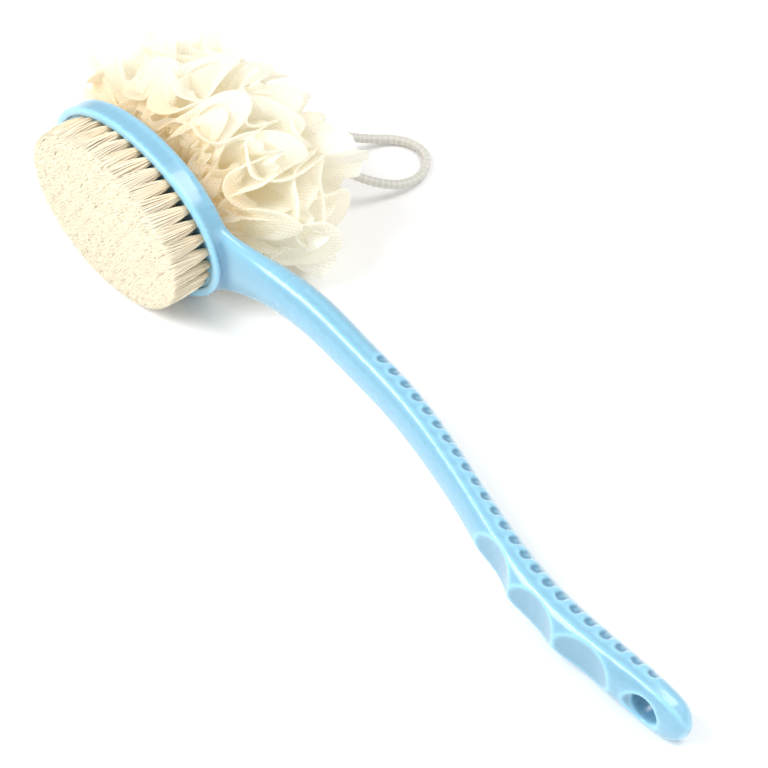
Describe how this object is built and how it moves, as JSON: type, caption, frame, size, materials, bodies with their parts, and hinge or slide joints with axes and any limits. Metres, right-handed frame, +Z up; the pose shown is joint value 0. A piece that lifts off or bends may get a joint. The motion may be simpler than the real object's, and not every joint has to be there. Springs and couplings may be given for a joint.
{
  "type": "bath brush",
  "caption": "Long curved bath brush lying on its side: an oval bristle head backed by a pouf of gathered netting with a cord loop, and a grip with a hanging hole.",
  "frame": {"origin": "middle of the bounding box, without the cord loop, on the surface that the brush lies on", "axes": "+Z up as the brush lies on its side, +X along the head towards the handle's end, +Y from the bristles towards the pouf"},
  "size_m": [0.4016, 0.1624, 0.0854],
  "materials": {
    "handle_plastic": "polished moulded plastic",
    "plate_plastic": "moulded plastic",
    "bristle_fibre": "cream nylon fibre, cut flat",
    "anchor_wire": "drawn flat wire",
    "netting": "knitted polyethylene netting",
    "cord": "braided cord"
  },
  "bodies": {
    "brush": {"handle": "handle_plastic", "bristle_plate": "plate_plastic", "tufts_ring_1": "bristle_fibre", "anchors_ring_1": "anchor_wire", "tufts_ring_2": "bristle_fibre", "anchors_ring_2": "anchor_wire", "tufts_ring_3": "bristle_fibre", "anchors_ring_3": "anchor_wire", "tufts_ring_4": "bristle_fibre", "anchors_ring_4": "anchor_wire", "tufts_ring_5": "bristle_fibre", "anchors_ring_5": "anchor_wire", "tufts_centre_row": "bristle_fibre", "anchors_centre_row": "anchor_wire", "anchor_cord": "cord", "anchor_knot": "cord"},
    "pouf": {"netting_inner": "netting", "netting_middle": "netting", "netting_outer": "netting", "binding_cord": "cord", "heart_knot": "cord"},
    "loop": {"hanging_loop": "cord"}
  },
  "joints": [
    {"name": "pouf_turn", "type": "hinge", "parent": "brush", "child": "pouf", "pos_m": [-0.12994, -0.01545, 0.03764], "axis": [0, 1, 0], "range_deg": [-45, 45]},
    {"name": "loop_swing", "type": "hinge", "parent": "pouf", "child": "loop", "pos_m": [-0.12994, 0.02505, 0.03764], "axis": [0.0834, 0, 0.9965], "range_deg": [-5, 8]}
  ]
}
